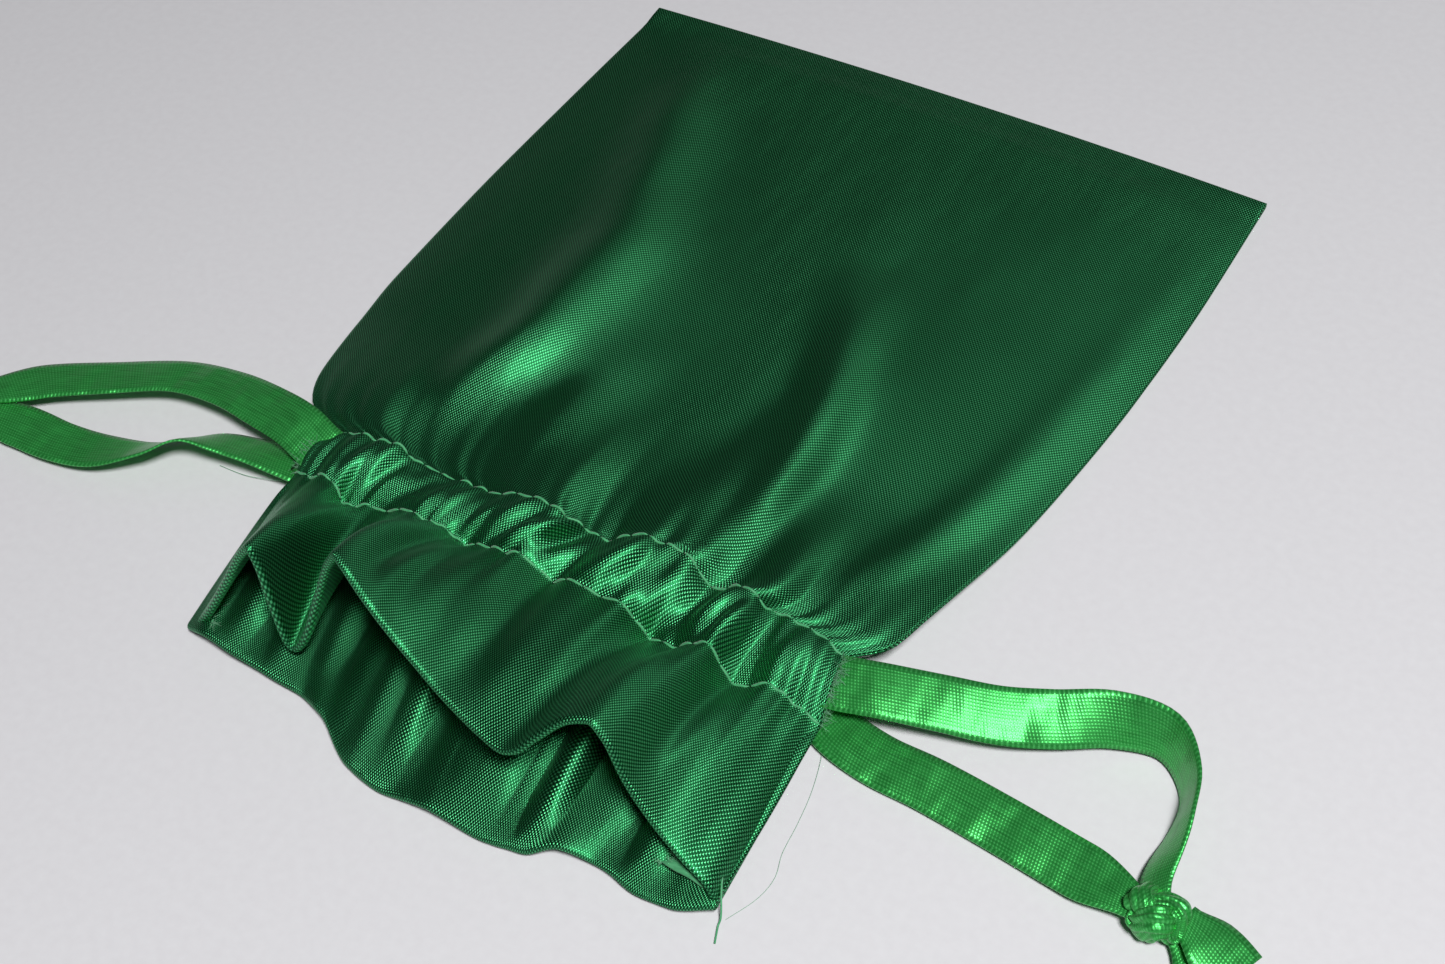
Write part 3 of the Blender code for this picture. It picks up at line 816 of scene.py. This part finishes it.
def ribbon_material():
    """The ribbon's slanting weave between two beaded selvedges."""
    s = Shading("ribbon_green")
    u, v = s.flat_cloth()
    slanted_u = s.math("ADD", s.math("MULTIPLY", u, 0.82), s.math("MULTIPLY", v, 0.57))
    slanted_v = s.math("SUBTRACT", s.math("MULTIPLY", v, 0.82), s.math("MULTIPLY", u, 0.57))
    dots = s.ramp(woven_dots(s, slanted_u, slanted_v, RIBBON_PITCH), 0.4, 0.95)
    from_middle = s.math("ABSOLUTE", s.math("SUBTRACT", u, RIBBON / 2))
    from_edge = s.math("SUBTRACT", RIBBON / 2, from_middle)
    selvedge = s.ramp(from_edge, 0.55, 0.4)
    beads = s.ramp(s.math("SINE", s.math("MULTIPLY", v, 2 * math.pi / BEAD_PITCH)), -0.4, 1.0)
    weave = s.mix(selvedge, dots, beads)
    streak = s.noise(1.0, 4.0, s.combine(s.math("MULTIPLY", u, 4.0), s.math("MULTIPLY", v, 0.25)))
    tone = s.mix(s.ramp(streak, 0.3, 0.7), (0.014, 0.23, 0.034, 1), (0.034, 0.4, 0.07, 1))
    tone = s.mix(s.math("MULTIPLY", weave, 0.38), tone, (0.16, 0.85, 0.24, 1))
    s.feed(s.shader, "Base Color", tone)
    s.set(Metallic=0.62, Roughness=0.38, Anisotropic=0.3, Sheen_Weight=0.05)
    tangent = s.node("ShaderNodeTangent", direction_type="UV_MAP", uv_map="flat_cloth")
    s.feed(s.shader, "Tangent", tangent.outputs[0])
    crease = s.bump(s.noise(0.16, 2.0, s.combine(s.math("MULTIPLY", u, 0.4), v)), 0.55, 0.0022)
    s.feed(s.shader, "Normal", s.bump(weave, 0.6, 0.00003, crease))
    return s.material


def wrong_side_material():
    """The satin's dull inner side, seen on the raw allowances."""
    s = Shading("satin_wrong_side")
    u, v = s.flat_cloth()
    fuzz = s.noise(1.6, 4.0, s.combine(u, v))
    s.feed(s.shader, "Base Color", s.mix(fuzz, (0.02, 0.16, 0.06, 1), (0.07, 0.36, 0.15, 1)))
    s.set(Roughness=0.75, Sheen_Weight=0.2)
    s.feed(s.shader, "Normal", s.bump(fuzz, 0.5, 0.0002))
    return s.material


def hair_material():
    """Pale loose fibres."""
    s = Shading("loose_fibre")
    fine = s.noise(900.0, 2.0, s.node("ShaderNodeTexCoord").outputs["Object"])
    s.feed(s.shader, "Base Color", s.mix(fine, (0.08, 0.3, 0.14, 1), (0.2, 0.42, 0.27, 1)))
    s.set(Roughness=0.6)
    return s.material


def thread_material():
    """Twisted sewing thread."""
    s = Shading("thread_green")
    twist = s.noise(2500.0, 2.0, s.node("ShaderNodeTexCoord").outputs["Object"])
    s.feed(s.shader, "Base Color", s.mix(twist, (0.02, 0.2, 0.07, 1), (0.08, 0.42, 0.18, 1)))
    s.set(Roughness=0.55, Sheen_Weight=0.3)
    s.feed(s.shader, "Normal", s.bump(twist, 0.4, 0.0001))
    return s.material


def floor_material():
    """The plain pale surface that the sack lies on."""
    s = Shading("pale_floor")
    fine = s.noise(900.0, 2.0, s.node("ShaderNodeTexCoord").outputs["Object"])
    s.feed(s.shader, "Base Color", s.mix(fine, (0.6, 0.59, 0.61, 1), (0.65, 0.645, 0.665, 1)))
    s.set(Roughness=0.7)
    return s.material


satin = satin_material()
ribbon = ribbon_material()
thread = thread_material()
wrong_side = wrong_side_material()
hair = hair_material()

# ---------------------------------------------------------------- the sack's cloth

front_layer, back_layer = make_layers()
fold = bottom_fold(front_layer[0], back_layer[0])
strip = np.concatenate([front_layer[::-1], fold, back_layer])
strip_v = flat_lengths(strip)
strip = wrinkled(strip, strip_v)
strip[..., 2] = raised_over(strip[..., 2], CLOTH_THICK / 2 + FLOOR_CLEAR, 0.05)
strip_normal = outward_normals(strip, -1)
strip_uv = np.stack(np.broadcast_arrays(FLAT_WIDTH * across[None, :], strip_v[:, None]), axis=-1)
sack = grid_mesh("satin_sack", strip, strip_uv, satin, CLOTH_THICK)
CLOTH_NODES = [
    "front_panel", "back_panel", "bottom_fold", "left_side_seam", "right_side_seam", "front_casing",
    "back_casing", "front_header", "back_header", "left_header_seam", "right_header_seam",
]
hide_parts(*CLOTH_NODES)
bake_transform(sack)

# ---------------------------------------------------------------- the ribbons

STRANDS = {
    "right_upper_strand": RIGHT_UPPER,
    "right_lower_strand": RIGHT_LOWER,
    "left_upper_strand": LEFT_UPPER,
    "left_lower_strand": LEFT_LOWER,
}
TAILS = {
    "right_tail_upper": RIGHT_TAIL_UPPER,
    "right_tail_lower": RIGHT_TAIL_LOWER,
    "left_tail_upper": LEFT_TAIL_UPPER,
    "left_tail_lower": LEFT_TAIL_LOWER,
}


def to_knot(along):
    """A strand's width, which narrows where the knot grips it."""
    return RIBBON * (1 - 0.5 * smooth_step((along - 0.82) / 0.18))


def from_knot(along):
    """A tail's width, which widens as it leaves the knot."""
    return RIBBON * (0.55 + 0.45 * smooth_step(along / 0.5))


for node, stations in STRANDS.items():
    side = node.split("_")[0]
    strand, line = ribbon_strip(node.replace("strand", "ribbon"), stations, ribbon, to_knot, cup=0.12)
    outward = 1 if side == "right" else -1
    exit_x = EXIT_RIGHT if side == "right" else EXIT_LEFT
    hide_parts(node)
    start = metres((exit_x - outward, LEAD_Y, 2)).tolist()
    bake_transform(strand)

for node, stations in TAILS.items():
    side = node.split("_")[0]
    tail, _ = ribbon_strip(node.replace("tail", "cut_tail"), stations, ribbon, from_knot, cup=0.2)
    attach(tail, f"{side}_loop")
    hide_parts(node)


def full_width(along):
    """The ribbon's whole width, all along."""
    return RIBBON + 0 * along


def hidden_ribbon(name, node, body, stations):
    """A stretch of ribbon inside the casings."""
    lead, _ = ribbon_strip(name, stations, ribbon, full_width)
    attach(lead, body)
    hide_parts(node)


def u_turn(exit_x, outward):
    """A return's route: out along the front casing, round the side, and back along the back casing."""
    middle = (FRONT_RETURN_Z + BACK_RETURN_Z) / 2
    half = (FRONT_RETURN_Z - BACK_RETURN_Z) / 2
    route = [(MEET_X, LEAD_Y, FRONT_RETURN_Z), (exit_x - outward * 2, LEAD_Y, FRONT_RETURN_Z)]
    for turn in np.linspace(0, math.pi, 7):
        x = exit_x + outward * (0.3 + half * math.sin(turn))
        route.append((x, LEAD_Y, middle + half * math.cos(turn)))
    route += [(exit_x - outward * 2, LEAD_Y, BACK_RETURN_Z), (MEET_X, LEAD_Y, BACK_RETURN_Z)]
    return route


def return_ribbon(name, node, exit_x, outward):
    """A ribbon's stretch from the middle of the front casing round a side to that of the back one."""
    line = smooth_line(u_turn(exit_x, outward), 90)
    share = np.linspace(-0.5, 0.5, RIBBON_COLUMNS + 1)
    points = line[:, None] + np.array([0, 1, 0]) * (RIBBON * share)[None, :, None]
    along = np.linspace(0, line_length(line), len(line))
    uv = np.stack(np.broadcast_arrays(RIBBON * (share[None, :] + 0.5), along[:, None]), axis=-1)
    turned = grid_mesh(name, points, uv, ribbon, RIBBON_THICK)
    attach(turned, "pouch")
    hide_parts(node)


for side, outward, first in (("right", 1, 30.0), ("left", -1, -30.0)):
    roll = LEAD_ROLL * outward
    front = [(MEET_X + outward, LEAD_Y, FRONT_LEAD_Z, roll), (first, LEAD_Y, FRONT_LEAD_Z, roll)]
    back = [(MEET_X + outward, LEAD_Y - 0.3, BACK_LEAD_Z, 0), (first, LEAD_Y - 0.5, BACK_LEAD_Z, 0)]
    hidden_ribbon(f"{side}_front_sliding_ribbon", f"{side}_ribbon_front_lead", f"{side}_ribbon", front)
    hidden_ribbon(f"{side}_back_sliding_ribbon", f"{side}_ribbon_back_lead", f"{side}_ribbon", back)
return_ribbon("left_ribbon_turn", "left_ribbon_return", EXIT_RIGHT + 0.6, 1)
return_ribbon("right_ribbon_turn", "right_ribbon_return", EXIT_LEFT + 1.6, -1)


def knot_line(t):
    """The closed tangle of an overhand knot, a little uneven."""
    x = (np.sin(t) + 2 * np.sin(2 * t)) / 3
    y = (np.cos(t) - 2 * np.cos(2 * t)) / 3
    z = -np.sin(3 * t)
    wide, deep, high = KNOT_REACH
    return np.stack([wide * x + 0.25 * np.sin(5 * t), deep * y + 0.2 * np.cos(4 * t), high * z], axis=1)


def pleated(t, angle):
    """How the crumpled ribbon's outline swells and shrinks, round it and along it."""
    t, angle = t[:, None], angle[None, :]
    twist = angle + 0.5 * np.sin(2 * t)
    pleats = np.abs(np.sin(4 * twist)) ** 0.6 - 0.5
    crumple = 0.1 * np.sin(9 * t + 3 * angle) * np.sin(4 * angle - 2 * t)
    return 1 + 0.34 * pleats + crumple


def make_knot(side, middle, turn):
    """An overhand knot: the ribbon, crumpled lengthways into pleats, through one closed tangle."""
    t = np.linspace(0, 2 * math.pi, 360, endpoint=False)
    angle = np.linspace(0, 2 * math.pi, 56, endpoint=False)
    line = knot_line(t)
    forward = np.roll(line, -1, axis=0) - np.roll(line, 1, axis=0)
    forward /= np.linalg.norm(forward, axis=1, keepdims=True)
    out = line / np.maximum(np.linalg.norm(line, axis=1, keepdims=True), 1e-6)
    side_way = np.cross(forward, out)
    side_way /= np.linalg.norm(side_way, axis=1, keepdims=True)
    top = np.cross(side_way, forward)
    half_width, half_height = KNOT_CORD
    ring = side_way[:, None] * (half_width * np.cos(angle))[None, :, None]
    ring = ring + top[:, None] * (half_height * np.sin(angle))[None, :, None]
    points = line[:, None] + ring * pleated(t, angle)[..., None]
    points = np.concatenate([points, points[:1]])
    yaw = math.radians(turn)
    spin = np.array([[math.cos(yaw), math.sin(yaw), 0], [-math.sin(yaw), math.cos(yaw), 0], [0, 0, 1]])
    points = points @ spin + np.array(middle)
    rows, columns = points.shape[:2]
    v, u = np.meshgrid(np.linspace(0, KNOT_CLOTH, rows), np.linspace(0, RIBBON, columns), indexing="ij")
    name = f"{side}_knotted_ribbon"
    knot = grid_mesh(name, points, np.stack([u, v], axis=-1), ribbon, 0, closed_across=True)
    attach(knot, f"{side}_loop")
    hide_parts(f"{side}_knot")


make_knot("right", RIGHT_KNOT, -KNOT_TURN)
make_knot("left", LEFT_KNOT, KNOT_TURN)

# ---------------------------------------------------------------- threads

# Where a stitch starts and ends, as shares of a stitch's length.
STITCH_START = 0.03
STITCH_END = 0.95
# Its height over the cloth at its ends, what it rises by, its radius at its ends and what that gains.
STITCH_LOW = 0.06
STITCH_RISE = 0.15
STITCH_THIN = 0.06
STITCH_SWELL = 0.085


def stitch_row(name, node, row_index):
    """Running stitches on a layer's outer side, each a short thread that dips in at its ends."""
    row, normal = strip[row_index], strip_normal[row_index]
    step = np.concatenate([[0], np.cumsum(np.linalg.norm(np.diff(row, axis=0), axis=1))])
    count = int(step[-1] / STITCH_LENGTH)
    arch = np.sin(np.linspace(0, math.pi, 9))
    made = []
    for i in range(count):
        at = (np.linspace(STITCH_START, STITCH_END, 9) + i) * step[-1] / count
        line = np.stack([np.interp(at, step, row[:, k]) for k in range(3)], axis=1)
        out = np.stack([np.interp(at, step, normal[:, k]) for k in range(3)], axis=1)
        raised = line + out * (STITCH_LOW + STITCH_RISE * arch[:, None] ** 0.5)
        made.append(tube(raised, STITCH_THIN + STITCH_SWELL * arch**0.4))
    piece = tubes_mesh(name, made, thread)
    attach(piece, "pouch")
    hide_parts(node)


front_end = len(front_layer) - 1
back_start = len(front_layer) + len(fold)
stitch_row("front_near_thread", "front_near_stitches", front_end - PANEL_ROWS - CASING_ROWS)
stitch_row("front_far_thread", "front_far_stitches", front_end - PANEL_ROWS)
stitch_row("back_near_thread", "back_near_stitches", back_start + BACK_ROWS + CASING_ROWS)
stitch_row("back_far_thread", "back_far_stitches", back_start + BACK_ROWS)


def fibres(name, places, outward, count, length, seed, body, radius):
    """Loose fibre ends that stand out of a raw edge."""
    random = np.random.default_rng(seed)
    places = np.asarray(places, float)
    made = []
    for _ in range(count):
        start = places[random.integers(len(places))] + random.normal(0, 0.12, 3)
        aim = np.asarray(outward, float) + random.normal(0, 0.55, 3)
        aim /= np.linalg.norm(aim)
        bend = random.normal(0, 0.35, 3)
        reach = length * random.uniform(0.35, 1.0)
        t = np.linspace(0, 1, 6)[:, None]
        line = start + reach * (aim * t + bend * t**2)
        line[:, 2] = np.maximum(line[:, 2], LOWEST_FIBRE)
        made.append(tube(line, radius * (1 - 0.5 * t[:, 0]), sides=5))
    piece = tubes_mesh(name, made, hair)
    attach(piece, body)


front_casing_start = front_end - PANEL_ROWS - CASING_ROWS
back_casing_start = back_start + BACK_ROWS
FRAYED_ENDS = [
    # name, first row, column, way out, lift, fibres, length, seed
    ("right_frayed_casing", front_casing_start, -1, 1, 0.15, 150, 1.1, 51),
    ("left_frayed_casing", front_casing_start, 0, -1, 0.15, 150, 1.1, 52),
    ("right_frayed_back_casing", back_casing_start, -1, 1, 0.1, 80, 1.0, 53),
    ("left_frayed_back_casing", back_casing_start, 0, -1, 0.1, 80, 1.0, 54),
]
for name, start, column, way_out, lift, count, length, seed in FRAYED_ENDS:
    places = strip[start : start + CASING_ROWS, column]
    fibres(name, places, (way_out, 0, lift), count, length, seed, "pouch", FIBRE_RADIUS)


def fine_thread(name, route, body, radius, material):
    """One loose thread along a route of places."""
    piece = tubes_mesh(name, [tube(smooth_line(route, 60), radius, sides=6)], material)
    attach(piece, body)
    return piece


sewing_thread = fine_thread("seam_sewing_thread", THREAD_TAIL, "header", THREAD_RADIUS, thread)
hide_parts("seam_thread_tail")
fine_thread("right_loose_thread", RIGHT_LOOSE_THREAD, "header", 0.022, hair)
fine_thread("left_loose_thread", LEFT_LOOSE_THREAD, "header", 0.03, hair)


def allowance(name, column, inward, reach, seed):
    """The raw edge of the header's side seam, turned to the inside and lying between the layers."""
    lip = back_start + BACK_ROWS + CASING_ROWS + HEADER_ROWS
    edge = strip[lip - HEADER_ROWS // 2 : lip, column] + np.array([inward * 0.9, 0, 0.5])
    share = np.linspace(0, 1, 9)
    along = np.linspace(0, 1, len(edge))
    lift = 1.6 * share[None, :] * along[:, None] ** 2
    lift = lift + 0.25 * np.sin(7 * share[None, :] + 5 * along[:, None])
    width = reach * (0.4 + 0.55 * along**2 + 0.08 * np.sin(14 * along + seed))
    points = edge[:, None] + share[None, :, None] * width[:, None, None] * np.array([inward, 0, 0])
    points[..., 2] += lift
    uv = np.stack(np.broadcast_arrays(reach * share[None, :], 12 * along[:, None]), axis=-1)
    piece = grid_mesh(name, points, uv, wrong_side, CLOTH_THICK)
    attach(piece, "header")
    fibres(name + "_fray", points[:, -1], (inward, -0.4, 0.1), 160, 1.0, seed, "header", FRAY_RADIUS)


allowance("right_header_allowance", -1, -1, ALLOWANCE_REACH["right"], 61)
allowance("left_header_allowance", 0, 1, ALLOWANCE_REACH["left"], 62)

# ---------------------------------------------------------------- floor, light and camera

# Azimuth, elevation and roll in degrees; target and distance in millimetres.
CAMERA_ANGLES = (34.716, 49.944, -5.191)
CAMERA_TARGET = (7.952, -10.005, 0)
CAMERA_DISTANCE = 227.316
SKY_STRENGTH = 0.06
# Azimuth and elevation in degrees, distance and size in metres, power in watts.
KEY_LIGHT = (50, 60, 0.7, 0.12, 5.6)
FLOOR_SIZE = 4
FLOOR_DROP = 0.00005


def make_floor():
    bpy.ops.mesh.primitive_plane_add(size=FLOOR_SIZE, location=(0, 0, -FLOOR_DROP))
    floor = bpy.context.object
    floor.name = "floor"
    floor.data.materials.append(floor_material())


def area_light(name, azimuth, elevation, distance, size, power):
    """A square softbox aimed at the sack. Azimuth 0 is at -Y, and 90 at +X."""
    data = bpy.data.lights.new(name, "AREA")
    data.size = size
    data.energy = power
    light = bpy.data.objects.new(name, data)
    bpy.context.scene.collection.objects.link(light)
    turn, lift = math.radians(azimuth), math.radians(elevation)
    away = Vector((math.sin(turn) * math.cos(lift), -math.cos(turn) * math.cos(lift), math.sin(lift)))
    light.location = away * distance
    light.rotation_euler = away.to_track_quat("Z", "Y").to_euler()


def make_world():
    """A dim, even sky."""
    world = bpy.data.worlds.new("studio")
    world.use_nodes = True
    background = world.node_tree.nodes["Background"]
    background.inputs["Color"].default_value = (0.9, 0.92, 1.0, 1)
    background.inputs["Strength"].default_value = SKY_STRENGTH
    bpy.context.scene.world = world
    bpy.context.scene.view_settings.view_transform = "Standard"


def make_camera():
    """A camera that looks down at the mouth from the front right, a little rolled."""
    azimuth, elevation, roll = (math.radians(a) for a in CAMERA_ANGLES)
    target = Vector(CAMERA_TARGET) * MM
    level = math.cos(elevation)
    back = Vector((math.sin(azimuth) * level, -math.cos(azimuth) * level, math.sin(elevation)))
    right = Vector((math.cos(azimuth), math.sin(azimuth), 0))
    up = back.cross(right)
    turned_right = right * math.cos(roll) + up * math.sin(roll)
    turned_up = up * math.cos(roll) - right * math.sin(roll)
    data = bpy.data.cameras.new("camera")
    data.lens = 50
    data.sensor_width = 36
    data.clip_start = 0.005
    camera = bpy.data.objects.new("camera", data)
    bpy.context.scene.collection.objects.link(camera)
    axes = Matrix((turned_right, turned_up, back)).transposed().to_4x4()
    camera.matrix_world = Matrix.Translation(target + back * CAMERA_DISTANCE * MM) @ axes
    bpy.context.scene.camera = camera


make_floor()
make_world()
area_light("key", *KEY_LIGHT)
make_camera()
